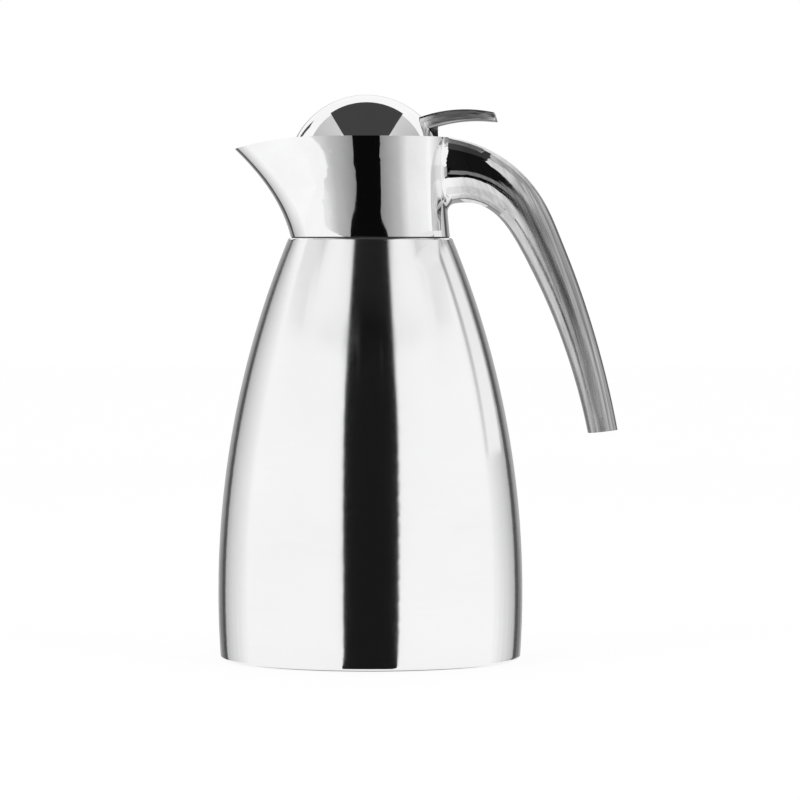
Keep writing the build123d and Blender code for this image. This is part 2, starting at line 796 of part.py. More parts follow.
# Two screws that hold the bracket to the collar
with BuildPart() as bracket_screws:
    head_plane = Plane(origin=(plate_front, 0, bracket_screw_height), z_dir=(-1, 0, 0))
    with BuildSketch(head_plane):
        with GridLocations(0, bracket_screw_spacing, 1, 2):
            Circle(bracket_screw_head_radius)
    extrude(amount=bracket_screw_head_height)
    with BuildSketch(head_plane):
        with GridLocations(0, bracket_screw_spacing, 1, 2):
            Circle(bracket_screw_radius)
    extrude(amount=-bracket_screw_length)
    slot_x = plate_front - bracket_screw_head_height
    with Locations((slot_x, 0, bracket_screw_height)):
        with GridLocations(0, bracket_screw_spacing, 1, 2):
            Box(driver_slot, driver_slot, 2 * bracket_screw_head_radius, mode=Mode.SUBTRACT)

# Hinge pin, headed over at both ends
with BuildPart() as hinge_pin:
    pin_reach = bracket_half_width + running_clearance
    with BuildSketch(Plane.XZ):
        with Locations((hinge_x, hinge_height)):
            Circle(pin_radius)
    extrude(amount=pin_reach, both=True)
    for end in (-1, 1):
        with BuildSketch(Plane.XZ.offset(end * pin_reach)):
            with Locations((hinge_x, hinge_height)):
                Circle(pin_head_radius)
        extrude(amount=end * pin_head_thickness)

# Solid core of the dome above the hinge notch, which shapes the lever's root
with BuildPart() as dome_core:
    with Locations(dome_centre):
        Sphere(dome_radius)
    split(bisect_by=Plane.XY.offset(notch_top), keep=Keep.TOP)

# Thumb lever: a waisted blade shaped to the dome, with a hub on the hinge pin
with BuildPart() as thumb_lever:
    with BuildSketch(Plane.XZ):
        with BuildLine():
            top_root = from_hinge(lever_top_root)
            top_end = from_hinge(lever_top_end)
            bottom_root = from_hinge(lever_bottom_root)
            bottom_end = from_hinge(lever_bottom_end)
            ThreePointArc(top_root, from_hinge(lever_top_middle), top_end)
            ThreePointArc(bottom_root, from_hinge(lever_bottom_middle), bottom_end)
            Line(top_root, bottom_root)
            Line(top_end, bottom_end)
        make_face()
    extrude(amount=lever_root_half_width, both=True)
    with BuildSketch(Plane.XY.offset(hinge_height)):
        with BuildLine():
            root_x = top_root[0]
            waist_x = hinge_x + lever_waist_reach
            end_x = bottom_end[0] - lever_tip_bulge
            ThreePointArc(
                (root_x, lever_root_half_width),
                (waist_x, lever_waist_half_width),
                (end_x, lever_end_half_width),
            )
            ThreePointArc(
                (end_x, lever_end_half_width),
                (end_x + lever_tip_bulge, 0),
                (end_x, -lever_end_half_width),
            )
            ThreePointArc(
                (end_x, -lever_end_half_width),
                (waist_x, -lever_waist_half_width),
                (root_x, -lever_root_half_width),
            )
            Line((root_x, -lever_root_half_width), (root_x, lever_root_half_width))
        make_face()
    extrude(amount=lever_root_half_width * 2, mode=Mode.INTERSECT)
    blade_edges = thumb_lever.edges().filter_by(lambda edge: edge.center().X > bottom_root[0])
    fillet(blade_edges, lever_edge_fillet)
    dish_height = from_hinge(lever_top_middle)[1] - lever_dish_depth + lever_dish_radius
    with Locations((hinge_x + lever_dish_reach, 0, dish_height)):
        Sphere(lever_dish_radius, mode=Mode.SUBTRACT)
    with BuildSketch(Plane.XZ):
        with Locations((hinge_x, hinge_height)):
            Circle(ear_radius)
        with Locations((hinge_x, hinge_height + lever_hub_web / 2)):
            Rectangle(2 * ear_radius, lever_hub_web)
    extrude(amount=hub_half_width, both=True)
    with BuildSketch(Plane.XZ):
        with Locations((hinge_x, hinge_height)):
            Circle(pin_radius + running_clearance)
    extrude(amount=hub_half_width, both=True, mode=Mode.SUBTRACT)
    add(dome_core.part, mode=Mode.SUBTRACT)
    for side in (-1, 1):
        with BuildSketch(lever_screw_plane(side, dome_radius - dome_wall)):
            Circle(lever_screw_radius + running_clearance)
        extrude(amount=lever_screw_length, mode=Mode.SUBTRACT)

# Two screws from inside the dome into the lever
with BuildPart() as lever_screws:
    head_seat = sqrt((dome_radius - dome_wall) ** 2 - lever_screw_head_radius**2)
    head_back = head_seat - lever_screw_head_height
    tip_depth = dome_radius - dome_wall + lever_screw_length - lever_screw_radius / 2
    for side in (-1, 1):
        with BuildSketch(lever_screw_plane(side, head_back)):
            Circle(lever_screw_head_radius)
        extrude(amount=lever_screw_head_height)
        with BuildSketch(lever_screw_plane(side, head_seat)):
            Circle(lever_screw_radius)
        extrude(amount=tip_depth - head_seat)
        with BuildSketch(lever_screw_plane(side, head_back)):
            Rectangle(2 * lever_screw_head_radius, driver_slot)
        extrude(amount=driver_slot, mode=Mode.SUBTRACT)


def tangent_turn(rest_point, sense):
    """Angle on the coil, seen from the side, where a straight leg from a point meets it."""
    away = Vector(*rest_point) - Vector(hinge_x, hinge_height)
    return atan2(away.Y, away.X) + sense * acos(spring_radius / away.length)


# Two closing springs on the pin: each is one wire with a leg on the lid base and one on the bracket
with BuildPart() as hinge_springs:
    wire_half = spring_wire / 2
    lid_rest = (hinge_x - spring_lid_leg, plate_top + wire_half)
    plate_rest = (plate_front - wire_half - running_clearance, hinge_height - spring_plate_leg)
    start_turn = tangent_turn(lid_rest, 1)
    end_turn = tangent_turn(plate_rest, -1)
    sweep_turn = (end_turn - start_turn) % (2 * pi) + 2 * pi * (spring_turns - 1)
    steps = spring_turns * spring_points
    coil_points = []
    for step in range(steps + 1):
        turn = start_turn + sweep_turn * step / steps
        along = spring_near + (spring_far - spring_near) * step / steps
        coil_points.append((hinge_x + spring_radius * cos(turn), along, hinge_height + spring_radius * sin(turn)))
    with BuildLine() as spring_path:
        first_end = (lid_rest[0], spring_near, lid_rest[1])
        last_end = (plate_rest[0], spring_far, plate_rest[1])
        Polyline(first_end, *coil_points, last_end)
    with BuildSketch(Plane(origin=spring_path.line @ 0, z_dir=spring_path.line % 0)):
        Circle(wire_half)
    sweep(transition=Transition.RIGHT)
    mirror(about=Plane.XZ)

# Every piece goes to its own file
outer_shell.part.label = "outer_shell"
export_step(outer_shell.part, "parts/outer_shell.step")
seam_gasket.part.label = "seam_gasket"
export_step(seam_gasket.part, "parts/seam_gasket.step")
collar_with_handle.part.label = "collar_with_handle"
export_step(collar_with_handle.part, "parts/collar_with_handle.step")
pour_insert.part.label = "pour_insert"
export_step(pour_insert.part, "parts/pour_insert.step")
clamp_nut.part.label = "clamp_nut"
export_step(clamp_nut.part, "parts/clamp_nut.step")
mouth_gasket.part.label = "mouth_gasket"
export_step(mouth_gasket.part, "parts/mouth_gasket.step")
outer_flask.part.label = "outer_flask"
export_step(outer_flask.part, "parts/outer_flask.step")
inner_flask.part.label = "inner_flask"
export_step(inner_flask.part, "parts/inner_flask.step")
flask_spacers.part.label = "flask_spacers"
export_step(flask_spacers.part, "parts/flask_spacers.step")
liner_cushion.part.label = "liner_cushion"
export_step(liner_cushion.part, "parts/liner_cushion.step")
base_ring.part.label = "base_ring"
export_step(base_ring.part, "parts/base_ring.step")
base_cover.part.label = "base_cover"
export_step(base_cover.part, "parts/base_cover.step")
foot_ring.part.label = "foot_ring"
export_step(foot_ring.part, "parts/foot_ring.step")
hinge_bracket.part.label = "hinge_bracket"
export_step(hinge_bracket.part, "parts/hinge_bracket.step")
bracket_screws.part.label = "bracket_screws"
export_step(bracket_screws.part, "parts/bracket_screws.step")
hinge_pin.part.label = "hinge_pin"
export_step(hinge_pin.part, "parts/hinge_pin.step")
lid_dome.part.label = "lid_dome"
export_step(lid_dome.part, "parts/lid_dome.step")
thumb_lever.part.label = "thumb_lever"
export_step(thumb_lever.part, "parts/thumb_lever.step")
lever_screws.part.label = "lever_screws"
export_step(lever_screws.part, "parts/lever_screws.step")
lid_base.part.label = "lid_base"
export_step(lid_base.part, "parts/lid_base.step")
stopper.part.label = "stopper"
export_step(stopper.part, "parts/stopper.step")
stopper_seal.part.label = "stopper_seal"
export_step(stopper_seal.part, "parts/stopper_seal.step")
stopper_insulation.part.label = "stopper_insulation"
export_step(stopper_insulation.part, "parts/stopper_insulation.step")
stopper_screw.part.label = "stopper_screw"
export_step(stopper_screw.part, "parts/stopper_screw.step")
stopper_cap.part.label = "stopper_cap"
export_step(stopper_cap.part, "parts/stopper_cap.step")
hinge_springs.part.label = "hinge_springs"
export_step(hinge_springs.part, "parts/hinge_springs.step")
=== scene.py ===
import math
from typing import NamedTuple

import bpy
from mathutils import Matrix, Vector


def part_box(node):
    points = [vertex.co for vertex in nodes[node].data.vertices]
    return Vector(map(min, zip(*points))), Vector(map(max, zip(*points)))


# Thermal jug with a hinged dome lid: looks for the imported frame. Metres; the spout points along -X,
# the handle stands on the +X side, and the camera looks along +Y. The pieces keep the CAD's own shapes.

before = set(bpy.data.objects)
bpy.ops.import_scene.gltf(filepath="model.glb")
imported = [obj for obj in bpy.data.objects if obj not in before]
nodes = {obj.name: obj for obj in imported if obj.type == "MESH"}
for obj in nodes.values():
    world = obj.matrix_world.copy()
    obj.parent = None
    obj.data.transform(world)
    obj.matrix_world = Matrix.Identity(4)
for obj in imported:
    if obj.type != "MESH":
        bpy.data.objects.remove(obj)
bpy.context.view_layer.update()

scene = bpy.context.scene
scene.view_settings.view_transform = "Standard"

WHITE = (1.0, 1.0, 1.0, 1.0)


# node helpers


class Nodes:
    """Adds nodes to one node tree and wires them."""

    def __init__(self, tree):
        self.tree = tree

    def feed(self, socket, value):
        """Wires another node's output to a socket, or gives the socket a plain value."""
        if isinstance(value, bpy.types.NodeSocket):
            self.tree.links.new(value, socket)
        else:
            socket.default_value = value

    def add(self, kind, inputs=None, **settings):
        node = self.tree.nodes.new(kind)
        for key, value in settings.items():
            setattr(node, key, value)
        for key, value in (inputs or {}).items():
            self.feed(node.inputs[key], value)
        return node

    def math(self, operation, first, second=0.0, third=0.0):
        node = self.add("ShaderNodeMath", {0: first, 1: second, 2: third}, operation=operation)
        return node.outputs[0]

    def mix(self, first, second, share):
        """The first value by its share, the second by the rest."""
        return self.math("MULTIPLY_ADD", first, share, self.math("MULTIPLY", second, 1.0 - share))

    def spread(self, value, middle, width):
        """A value between 0 and 1, spread over a width round a middle."""
        return self.math("MULTIPLY_ADD", value, width, middle - width / 2)

    def between(self, value, low, high, to_low=0.0, to_high=1.0, smooth=False):
        """Maps low to to_low and high to to_high, with nothing beyond them."""
        node = self.add(
            "ShaderNodeMapRange",
            {"Value": value, "From Min": low, "From Max": high, "To Min": to_low, "To Max": to_high},
            interpolation_type="SMOOTHSTEP" if smooth else "LINEAR",
        )
        return node.outputs["Result"]

    def ramp(self, value, *stops):
        """Maps a value through colour stops given as (position, grey level or colour)."""
        node = self.add("ShaderNodeValToRGB", {"Fac": value})
        elements = node.color_ramp.elements
        while len(elements) < len(stops):
            elements.new(1.0)
        for element, (position, level) in zip(elements, stops):
            element.position = position
            if isinstance(level, (int, float)):
                level = (level, level, level)
            element.color = (*level, 1.0)
        return node.outputs["Color"]

    def seen(self):
        """1 for what the camera sees, straight, mirrored or through glass; 0 for what only gives light."""
        path = self.add("ShaderNodeLightPath").outputs
        in_view = self.math("MAXIMUM", path["Is Camera Ray"], path["Is Glossy Ray"])
        return self.math("MAXIMUM", in_view, path["Is Transmission Ray"])


class Shader(Nodes):
    """The nodes of one new material."""

    def __init__(self, name):
        self.material = bpy.data.materials.new(name)
        self.material.use_nodes = True
        super().__init__(self.material.node_tree)
        self.principled = self.tree.nodes["Principled BSDF"]

    def set(self, **values):
        """Inputs of the principled shader, with a low line for each blank in their names."""
        for key, value in values.items():
            self.feed(self.principled.inputs[key.replace("_", " ")], value)

    def surface(self, output):
        """Gives the surface another shader than the principled one."""
        self.feed(self.tree.nodes["Material Output"].inputs["Surface"], output)

    def around(self, scale=(1.0, 1.0, 1.0)):
        """Object coordinates, scaled."""
        coordinates = self.add("ShaderNodeTexCoord").outputs["Object"]
        inputs = {"Vector": coordinates, "Scale": scale}
        return self.add("ShaderNodeMapping", inputs, vector_type="POINT").outputs["Vector"]

    def noise(self, vector, scale, detail=3.0, roughness=0.55):
        inputs = {"Vector": vector, "Scale": scale, "Detail": detail, "Roughness": roughness}
        return self.add("ShaderNodeTexNoise", inputs).outputs["Fac"]

    def ring_noise(self, along, around, detail, roughness=0.55):
        """Noise drawn out into rings round the Z axis, with so many cells per metre along it and per
        radian around it."""
        split = self.add("ShaderNodeSeparateXYZ", {"Vector": self.around()}).outputs
        angle = self.math("ARCTAN2", split["Y"], split["X"])
        # the angle enters as a circle, so that the pattern closes without a seam
        circle_x = self.math("MULTIPLY", self.math("COSINE", angle), around)
        circle_y = self.math("MULTIPLY", self.math("SINE", angle), around)
        height = self.math("MULTIPLY", split["Z"], along)
        joined = self.add("ShaderNodeCombineXYZ", {"X": circle_x, "Y": circle_y, "Z": height})
        return self.noise(joined.outputs["Vector"], scale=1.0, detail=detail, roughness=roughness)

    def bump(self, height, strength, distance):
        node = self.add("ShaderNodeBump", {"Height": height, "Strength": strength, "Distance": distance})
        self.set(Normal=node.outputs["Normal"])


def assign(material, *names):
    for name in names:
        mesh = nodes[name].data
        mesh.materials.clear()
        mesh.materials.append(material)


# metals


class SatinAndShade(NamedTuple):
    """A satin finish with lengthwise strokes that takes over from the polish along X, and painted shade that
    makes the metal's colour darker, in metres.
    """

    turns: tuple  # X places between which the polish turns to satin
    painted_shade_span: tuple  # X places between which painted shade turns the metal darker
    centre: tuple  # centre of the arc that the strokes follow
    outer: tuple  # distances from it between which painted shade turns the outer side darker still
    along: str  # coordinate that changes along a stroke
    stroke_and_shade_tones: tuple  # grey levels of the dull and the bright strokes, dark as painted shade
    roughness: float  # middle of the strokes' roughness


# The grip's painted shade stands in for the dark reflections along it.
GRIP_SATIN_AND_SHADE = SatinAndShade(
    turns=(0.056, 0.080),
    painted_shade_span=(0.036, 0.047),
    centre=(-0.3263, 0.0, 0.0253),
    outer=(0.4340, 0.4400),
    along="Z",
    stroke_and_shade_tones=(0.20, 0.56),
    roughness=0.26,
)
# all of the lever counts as its outer side, so painted shade turns all of it darker where the satin has taken
# over
LEVER_SATIN_AND_SHADE = SatinAndShade(
    turns=(0.022, 0.034),
    painted_shade_span=(0.018, 0.026),
    centre=(0.0453, 0.0, 0.1916),
    outer=(0.0, 0.001),
    along="X",
    stroke_and_shade_tones=(0.15, 0.80),
    roughness=0.38,
)
STROKES_ACROSS = 620.0
STROKES_ALONG = 9.0
STROKE_RELIEF = 0.35
# how far painted shade turns the metal's colour darker, along X and on the outer side
INNER_PAINTED_SHADE = 0.52
OUTER_PAINTED_SHADE = 0.48
PLATING = (0.94, 0.94, 0.943)
DULL_PLATING = tuple(0.95 * part for part in PLATING)


def brushed_shell():
    """Steel brushed round the body: fine rings with broken strokes, stretched highlights."""
    shader = Shader("brushed_steel_body")
    fine = shader.ring_noise(along=2600.0, around=2.2, detail=4.0, roughness=0.7)
    strokes = shader.ring_noise(along=900.0, around=5.0, detail=3.0, roughness=0.6)
    broad = shader.ring_noise(along=22.0, around=0.8, detail=2.0)
    grain = shader.mix(fine, strokes, share=0.65)
    tone = shader.mix(grain, broad, share=0.5)
    colour = shader.ramp(tone, (0.3, (0.88, 0.88, 0.885)), (0.7, (0.94, 0.94, 0.94)))
    rough = shader.between(grain, 0.3, 0.7, to_low=0.15, to_high=0.20)
    tangent = shader.add("ShaderNodeTangent", direction_type="RADIAL", axis="Z").outputs["Tangent"]
    shader.set(Base_Color=colour, Metallic=1.0, Roughness=rough)
    shader.set(Anisotropic=0.9, Anisotropic_Rotation=0.25, Tangent=tangent)
    shader.bump(grain, strength=0.015, distance=0.00003)
    return shader.material


def satin_and_painted_shade(shader, satin):
    """How far the satin has taken over, how much painted shade turns the metal darker, and the strokes' own
    noise.
    """
    split = shader.add("ShaderNodeSeparateXYZ", {"Vector": shader.around()}).outputs
    taken = shader.between(split["X"], *satin.turns, smooth=True)
    # painted shade: the metal's colour turns darker along X, standing in for dark reflections
    dark = shader.between(split["X"], *satin.painted_shade_span, smooth=True)
    # lines of equal distance from the arc's centre, seen from the side, run along the piece
    flat = shader.add("ShaderNodeCombineXYZ", {"X": split["X"], "Z": split["Z"]}).outputs["Vector"]
    distance = shader.add("ShaderNodeVectorMath", {0: flat, 1: satin.centre}, operation="DISTANCE")
    away = distance.outputs["Value"]
    # painted shade, darker still on the outer side
    outside = shader.math("MULTIPLY", taken, shader.between(away, *satin.outer, smooth=True))
    outer_painted_shade = shader.math("MULTIPLY", outside, OUTER_PAINTED_SHADE)
    painted_shade = shader.math("MULTIPLY_ADD", dark, INNER_PAINTED_SHADE, outer_painted_shade)
    lines = shader.add(
        "ShaderNodeCombineXYZ",
        {
            "X": shader.math("MULTIPLY", away, STROKES_ACROSS),
            "Y": shader.math("MULTIPLY", split["Y"], STROKES_ACROSS),
            "Z": shader.math("MULTIPLY", split[satin.along], STROKES_ALONG),
        },
    )
    strokes = shader.noise(lines.outputs["Vector"], scale=1.0, detail=3.0, roughness=0.65)
    return taken, painted_shade, strokes


def polished(name, roughness=(0.02, 0.07), satin=None):
    """Plated and polished metal with faint polishing haze and handling marks, and its satin finish and
    painted shade if any.
    """
    shader = Shader(name)
    haze = shader.noise(shader.around(), scale=55.0, detail=5.0, roughness=0.6)
    marks = shader.noise(shader.around(scale=(1.0, 1.0, 6.0)), scale=260.0, detail=2.0, roughness=0.5)
    rough = shader.between(shader.mix(haze, marks, share=0.7), 0.35, 0.7, *roughness)
    tone = shader.ramp(haze, (0.35, DULL_PLATING), (0.65, PLATING))
    relief = haze
    if satin:
        taken, painted_shade, strokes = satin_and_painted_shade(shader, satin)
        satin_rough = shader.spread(strokes, satin.roughness, width=0.16)
        rough = shader.math("MULTIPLY_ADD", taken, shader.math("SUBTRACT", satin_rough, rough), rough)
        # the strokes' grey levels are the dark colour that the painted shade mixes in
        satin_and_shade_tone = shader.ramp(strokes, (0.34, satin.stroke_and_shade_tones[0]), (0.66, satin.stroke_and_shade_tones[1]))
        blend = {"Fac": painted_shade, "Color1": tone, "Color2": satin_and_shade_tone}
        tone = shader.add("ShaderNodeMixRGB", blend).outputs["Color"]
        relief = shader.math("MULTIPLY_ADD", shader.math("MULTIPLY", strokes, taken), STROKE_RELIEF, haze)
    shader.set(Base_Color=tone, Metallic=1.0, Roughness=rough)
    shader.bump(relief, strength=0.02, distance=0.0004)
    return shader.material


def plain_steel(name, level, roughness):
    """Turned or rolled steel of small fixings."""
    shader = Shader(name)
    grain = shader.noise(shader.around(scale=(1.0, 4.0, 1.0)), scale=900.0)
    tone = shader.ramp(grain, (0.3, level * 0.85), (0.7, level * 1.05))
    shader.set(Base_Color=tone, Metallic=1.0, Roughness=shader.spread(grain, roughness, width=0.2))
    shader.bump(grain, strength=0.15, distance=0.00005)
    return shader.material


# plastics, rubber, foam and glass

PLASTIC_TINT = (1.0, 1.0, 1.03)


def moulded(name, level, roughness, grain_scale=1400.0):
    """Moulded plastic with a fine spark-eroded grain and faint flow marks."""
    shader = Shader(name)
    grain = shader.noise(shader.around(), grain_scale, detail=2.0)
    flow = shader.noise(shader.around(scale=(1.0, 1.0, 0.4)), scale=40.0)
    low = tuple(0.85 * level * part for part in PLASTIC_TINT)
    high = tuple(1.15 * level * part for part in PLASTIC_TINT)
    tone = shader.ramp(flow, (0.35, low), (0.65, high))
    shader.set(Base_Color=tone, Roughness=shader.spread(grain, roughness, width=0.16))
    shader.bump(grain, strength=0.2, distance=0.00006)
    return shader.material


def rubber(name, level, roughness=0.68):
    """Matt rubber with dust in its pores."""
    shader = Shader(name)
    pores = shader.noise(shader.around(), scale=900.0, detail=4.0, roughness=0.7)
    dust = shader.noise(shader.around(), scale=120.0, detail=4.0)
    tone = shader.ramp(dust, (0.4, level * 0.8), (0.75, level * 1.5))
    shader.set(Base_Color=tone, Roughness=shader.spread(pores, roughness, width=0.2))
    shader.bump(pores, strength=0.35, distance=0.0001)
    return shader.material


def foam(name, level):
    """Cut foam or felt."""
    shader = Shader(name)
    voronoi = shader.add("ShaderNodeTexVoronoi", {"Vector": shader.around(), "Scale": 700.0})
    cells = voronoi.outputs["Distance"]
    tone = shader.ramp(cells, (0.0, level * 0.75), (0.6, level))
    shader.set(Base_Color=tone, Roughness=0.9)
    shader.bump(cells, strength=0.5, distance=0.0002)
    return shader.material


def silvered_glass():
    """Silvered inner bottle: a mirror with slight waviness."""
    shader = Shader("silvered_glass")
    wave = shader.noise(shader.around(), scale=18.0, detail=2.0)
    tone = shader.ramp(wave, (0.3, (0.80, 0.80, 0.79)), (0.7, (0.9, 0.9, 0.9)))
    shader.set(Base_Color=tone, Metallic=1.0, Roughness=shader.spread(wave, middle=0.05, width=0.04))
    shader.bump(wave, strength=0.1, distance=0.002)
    return shader.material


def clear_glass():
    """Outer bottle: clear, with a faint green tinge."""
    shader = Shader("clear_glass")
    wave = shader.noise(shader.around(), scale=20.0, detail=2.0)
    tone = shader.ramp(wave, (0.3, (0.90, 0.94, 0.93)), (0.7, (0.96, 0.98, 0.98)))
    shader.set(Base_Color=tone, Roughness=shader.spread(wave, middle=0.025, width=0.03))
    shader.set(IOR=1.5, Transmission_Weight=0.9)
    return shader.material


assign(brushed_shell(), "outer_shell")
# the grip and the lever carry painted shade in their colour, besides their satin strokes
assign(polished("polished_head", satin=GRIP_SATIN_AND_SHADE), "collar_with_handle")
assign(polished("polished_dome", roughness=(0.015, 0.05)), "lid_dome")
assign(polished("polished_lever", roughness=(0.06, 0.14), satin=LEVER_SATIN_AND_SHADE), "thumb_lever")
assign(plain_steel("bracket_steel", level=0.72, roughness=0.25), "hinge_bracket")
assign(plain_steel("pin_steel", level=0.68, roughness=0.22), "hinge_pin", "bracket_screws")
assign(plain_steel("screw_steel", level=0.6, roughness=0.32), "lever_screws", "stopper_screw")
assign(plain_steel("spring_steel", level=0.5, roughness=0.3), "hinge_springs")
assign(rubber("seam_rubber", level=0.02), "seam_gasket")
assign(rubber("seal_rubber", level=0.035, roughness=0.6), "stopper_seal", "mouth_gasket")
assign(rubber("foot_rubber", level=0.04, roughness=0.75), "foot_ring")
assign(rubber("cushion_rubber", level=0.3, roughness=0.8), "liner_cushion")
assign(moulded("insert_plastic", level=0.032, roughness=0.38), "pour_insert")
assign(moulded("nut_plastic", level=0.05, roughness=0.5), "clamp_nut")
assign(moulded("base_plastic", level=0.04, roughness=0.5, grain_scale=900.0), "base_cover", "base_ring")
assign(moulded("lid_plastic", level=0.032, roughness=0.4), "lid_base", "stopper", "stopper_cap")
assign(foam("stopper_foam", level=0.85), "stopper_insulation")
assign(foam("spacer_felt", level=0.6), "flask_spacers")
assign(silvered_glass(), "inner_flask")
assign(clear_glass(), "outer_flask")


# camera

CAMERA_DISTANCE = 2.2
CAMERA_HEIGHT = 0.190
AIM = Vector((0.0139, 0.0, 0.122))

camera_data = bpy.data.cameras.new("camera")
camera = bpy.data.objects.new("camera", camera_data)
scene.collection.objects.link(camera)
camera.location = (AIM.x, -CAMERA_DISTANCE, CAMERA_HEIGHT)
camera.rotation_mode = "QUATERNION"
camera.rotation_quaternion = (AIM - camera.location).to_track_quat("-Z", "Y")
camera_data.sensor_width = 36.0
camera_data.lens = 211.0
camera_data.clip_start = 0.01
camera_data.clip_end = 100.0
scene.camera = camera


# studio cards

BLACK = 0.010
COLLAR_BLACK = 0.003
DARK_GREY = 0.055
# degrees round the jug that one card of a row spans
CARD_SPAN = 8.0


def emitter(name, level):
    """Card colour that takes no light: one level, or two to run between along the card."""
    shader = Shader(name)
    shader.tree.nodes.remove(shader.principled)
    if isinstance(level, tuple):
        along = shader.add("ShaderNodeUVMap").outputs["UV"]
        across = shader.add("ShaderNodeSeparateXYZ", {"Vector": along}).outputs["X"]
        colour = shader.ramp(across, (0.0, level[0]), (1.0, level[1]))
    else:
        colour = (level, level, level, 1.0)
    shader.surface(shader.add("ShaderNodeEmission", {"Color": colour}).outputs["Emission"])
    return shader.material


def card(name, corners, level):
    """A flat card that only reflections see. A run of levels starts at its first and last corner."""
    mesh = bpy.data.meshes.new(name)
    mesh.from_pydata([tuple(corner) for corner in corners], [], [tuple(range(len(corners)))])
    places = mesh.uv_layers.new().data
    for number, place in enumerate(places):
        place.uv = (0.0 if number in (0, len(places) - 1) else 1.0, 0.0)
    mesh.materials.append(emitter(name + "_paint", level))
    piece = bpy.data.objects.new(name, mesh)
    scene.collection.objects.link(piece)
    piece.visible_camera = False
    piece.visible_shadow = False
    piece.visible_diffuse = False


def level_corners(low_x, high_x, low_y, high_y, height):
    """Corners of a rectangle that lies level."""
    places = ((low_x, low_y), (high_x, low_y), (high_x, high_y), (low_x, high_y))
    return [(x, y, height) for x, y in places]


def sector(name, azimuths, places, level, start_share=1.0):
    """Cards in a row round the jug's axis. Azimuth 0 is the camera's side, positive towards +X.
    Places are two (distance, height) pairs, the lower or inner one first. The first of them lies at
    start_share of the azimuth: a reflection leaves the body at half of the azimuth it travels in."""
    first, last = azimuths
    pieces = max(1, round(abs(last - first) / CARD_SPAN))
    for number in range(pieces):
        shares = (number / pieces, (number + 1) / pieces)
        ends = [first + (last - first) * share for share in shares]
        first_ends = [start_share * end for end in ends]
        corners = []
        pairs = zip((*first_ends, *reversed(ends)), (places[0], places[0], places[1], places[1]))
        for azimuth, (distance, height) in pairs:
            angle = math.radians(azimuth)
            corners.append((distance * math.sin(angle), -distance * math.cos(angle), height))
        run = level
        if isinstance(level, tuple):
            run = tuple(level[0] + (level[1] - level[0]) * share for share in shares)
        card(name + "_" + str(number), corners, run)


# The black flags in front of the jug are what the body mirrors as its dark stripe. Their edges are found
# by following the camera's rays, from the stripe's edges on the body out to the plane of each flag.

# height, left edge and right edge of the stripe, from the foot upwards
STRIPE = (
    (0.0470, -0.0119, 0.0132),
    (0.0845, -0.0119, 0.0132),
    (0.1125, -0.0117, 0.0130),
    (0.1313, -0.0112, 0.0122),
    (0.1500, -0.0103, 0.0114),
    (0.1612, -0.0093, 0.0103),
    (0.1760, -0.0085, 0.0098),
    (0.1900, -0.0072, 0.0090),
)
# how many of the rows the low flag and the far flag reach over; the ceiling makes the rest
LOW_ROWS = 4
FAR_ROWS = 6
BODY_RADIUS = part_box("outer_shell")[1].x
WIDEST_HEIGHT = 0.032
SIDE_ARC = 0.4328
Y_AXIS = 1
Z_AXIS = 2


def mirrored(x, height, axis, place):
    """Where the camera's ray that meets the body's front at (x, height) goes on to, on the plane where
    the coordinate along an axis has this place. The body's side is one arc."""
    rise = height - WIDEST_HEIGHT
    level = math.sqrt(SIDE_ARC ** 2 - rise ** 2)
    radius = BODY_RADIUS - SIDE_ARC + level
    meets = Vector((x, -math.sqrt(radius ** 2 - x ** 2), height))
    outwards = level / SIDE_ARC / radius
    normal = Vector((meets.x * outwards, meets.y * outwards, rise / SIDE_ARC))
    ray = (meets - camera.location).normalized().reflect(normal)
    return meets + ray * ((place - meets[axis]) / ray[axis])


def stripe_edges(rows, axis, place):
    """Right and left edge, on such a plane, of the flag that the body mirrors along these rows."""
    right_edge = [mirrored(right, height, axis, place) for height, left, right in rows]
    left_edge = [mirrored(left, height, axis, place) for height, left, right in rows]
    return right_edge, left_edge


def standing(right_edge, left_edge):
    """Corners of an upright flag between two edges that run on straight down to the floor."""
    right_foot, left_foot = [(edge[0].x, edge[0].y, 0.0) for edge in (right_edge, left_edge)]
    return [right_foot, *right_edge, *reversed(left_edge), left_foot]


# The far flag stands between the jug and the camera, and a black and then a grey ceiling run on from
# its top over the jug, with lighter cards on each side.
FAR_FRONT = -1.56
CEILING_TOP = 1.25
CEILING_TURN = -0.70
CEILING_BACK = 0.78
CEILING_HALF = 0.60
CEILING_LEFT = -0.50
SIDE_FRONT = -0.46
SIDE_BACK = 0.62
SIDE_MIDDLE = 1.5
SIDE_END = 2.3

far_right, far_left = stripe_edges(STRIPE[:FAR_ROWS], Y_AXIS, FAR_FRONT)
# its top corners are the ceiling's too
far_right[-1].z = CEILING_TOP
far_left[-1].z = CEILING_TOP
card("far_flag", standing(far_right, far_left), BLACK)
top_right, top_left = stripe_edges(STRIPE[FAR_ROWS:], Z_AXIS, CEILING_TOP)
turn = [(CEILING_HALF, CEILING_TURN, CEILING_TOP), (CEILING_LEFT, CEILING_TURN, CEILING_TOP)]
card("ceiling_front", [far_right[-1], *top_right, *turn, *reversed(top_left), far_left[-1]], BLACK)
grey_corners = level_corners(-CEILING_HALF, CEILING_HALF, CEILING_TURN, CEILING_BACK, CEILING_TOP)
card("ceiling_flag", grey_corners, DARK_GREY)

